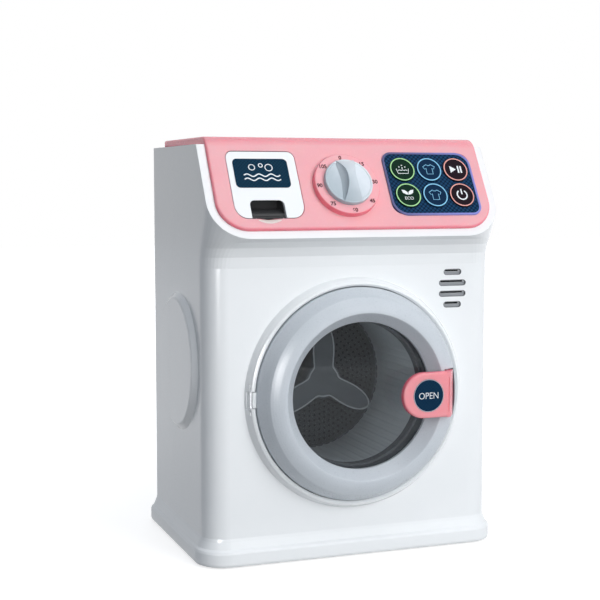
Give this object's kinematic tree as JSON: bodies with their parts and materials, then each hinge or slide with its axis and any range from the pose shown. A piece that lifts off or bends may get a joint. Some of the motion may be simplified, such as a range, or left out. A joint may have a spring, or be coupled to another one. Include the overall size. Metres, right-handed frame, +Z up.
{
  "type": "toy washing machine",
  "caption": "Front-loading toy washing machine with a turning drum, hinged round door with a pull latch, detergent drawer, turning programme dial and press buttons.",
  "frame": {"origin": "centre of the footprint's bounding box on the floor plane", "axes": "+Z up, the door faces -Y, +X to the viewer's right when facing the door"},
  "size_m": [0.2088, 0.1666, 0.2725],
  "materials": {
    "white_abs": "glossy moulded",
    "pink_abs": "glossy moulded",
    "silver_abs": "satin, silver-grey moulded",
    "navy_film": "printed film",
    "violet_abs": "glossy moulded",
    "drum_abs": "glossy moulded",
    "dark_abs": "fine grain moulded",
    "smoke_window": "smoke-tinted clear plastic",
    "rubber": "matt",
    "steel": "plated",
    "brass": "turned",
    "nylon": "moulded nylon",
    "pcb": "board",
    "cell_jacket": "printed jacket"
  },
  "bodies": {
    "cabinet": {"front_shell": "white_abs", "back_shell": "white_abs", "base_plate": "white_abs", "foot_1": "rubber", "foot_2": "rubber", "foot_3": "rubber", "foot_4": "rubber", "case_screws": "steel", "console_panel": "pink_abs", "drawer_housing": "white_abs", "timer_unit": "dark_abs", "button_bezel": "violet_abs", "button_plate": "navy_film", "button_board": "pcb", "hinge_pin": "steel", "latch_keeper": "steel", "drum_bracket": "white_abs", "drum_bush": "brass", "motor": "steel", "speaker_frame": "dark_abs", "speaker_cone": "dark_abs", "battery_box": "white_abs", "battery_contacts": "steel", "battery_1": "cell_jacket", "battery_2": "cell_jacket", "battery_3": "cell_jacket"},
    "drawer_slider": {"drawer_front": "white_abs", "drawer_tray": "dark_abs", "drawer_label": "navy_film"},
    "dial": {"program_knob": "silver_abs", "knob_spindle": "nylon"},
    "push_1": {"button_1": "navy_film"},
    "push_2": {"button_2": "navy_film"},
    "push_3": {"button_3": "navy_film"},
    "push_4": {"button_4": "navy_film"},
    "push_5": {"button_5": "navy_film"},
    "push_6": {"button_6": "navy_film"},
    "door": {"door_ring": "silver_abs", "door_back": "silver_abs", "door_window": "smoke_window", "hinge_arm": "white_abs", "handle_pin": "steel", "handle_spring": "steel"},
    "handle": {"door_handle": "pink_abs", "handle_disc": "navy_film"},
    "drum_body": {"drum": "drum_abs", "drum_agitator": "drum_abs", "drum_spindle": "steel", "drum_gear": "nylon"},
    "motor_rotor": {"motor_spindle": "steel", "motor_pinion": "nylon"},
    "battery_cover": {"battery_door": "white_abs", "battery_screw": "steel"}
  },
  "joints": [
    {"name": "drawer_slide", "type": "slide", "parent": "cabinet", "child": "drawer_slider", "axis": [0, -1, 0], "range_m": [0, 0.035]},
    {"name": "dial_turn", "type": "hinge", "parent": "cabinet", "child": "dial", "pos_m": [-0.0064, -0.05226, 0.23952], "axis": [0, 0.8572, -0.515], "range_deg": [0, 315]},
    {"name": "button_1_press", "type": "slide", "parent": "cabinet", "child": "push_1", "axis": [0, 0.8572, -0.515], "range_m": [0, 0.0012], "stiffness_N_per_m": 400, "springref_m": -0.0006},
    {"name": "button_2_press", "type": "slide", "parent": "cabinet", "child": "push_2", "axis": [0, 0.8572, -0.515], "range_m": [0, 0.0012], "stiffness_N_per_m": 400, "springref_m": -0.0006},
    {"name": "button_3_press", "type": "slide", "parent": "cabinet", "child": "push_3", "axis": [0, 0.8572, -0.515], "range_m": [0, 0.0012], "stiffness_N_per_m": 400, "springref_m": -0.0006},
    {"name": "button_4_press", "type": "slide", "parent": "cabinet", "child": "push_4", "axis": [0, 0.8572, -0.515], "range_m": [0, 0.0012], "stiffness_N_per_m": 400, "springref_m": -0.0006},
    {"name": "button_5_press", "type": "slide", "parent": "cabinet", "child": "push_5", "axis": [0, 0.8572, -0.515], "range_m": [0, 0.0012], "stiffness_N_per_m": 400, "springref_m": -0.0006},
    {"name": "button_6_press", "type": "slide", "parent": "cabinet", "child": "push_6", "axis": [0, 0.8572, -0.515], "range_m": [0, 0.0012], "stiffness_N_per_m": 400, "springref_m": -0.0006},
    {"name": "door_hinge", "type": "hinge", "parent": "cabinet", "child": "door", "pos_m": [-0.0723, -0.0603, 0.1075], "axis": [0, 0, -1], "range_deg": [0, 105]},
    {"name": "handle_pull", "type": "hinge", "parent": "door", "child": "handle", "pos_m": [0.0575, -0.0736, 0.1075], "axis": [0, 0, 1], "range_deg": [0, 12], "stiffness_Nm_per_rad": 0.04, "springref_deg": -8.59},
    {"name": "drum_spin", "type": "hinge", "parent": "cabinet", "child": "drum_body", "pos_m": [0, 0.0339, 0.1075], "axis": [0, 1, 0], "continuous": true},
    {"name": "motor_spin", "type": "hinge", "parent": "cabinet", "child": "motor_rotor", "pos_m": [0.03399, 0.0364, 0.12335], "axis": [0, 1, 0], "continuous": true},
    {"name": "cover_hinge", "type": "hinge", "parent": "cabinet", "child": "battery_cover", "pos_m": [0, 0.0778, 0.0227], "axis": [-1, 0, 0], "range_deg": [0, 90]}
  ],
  "couplings": [
    {"joint": "motor_spin", "follows": "drum_spin", "ratio": -4}
  ]
}
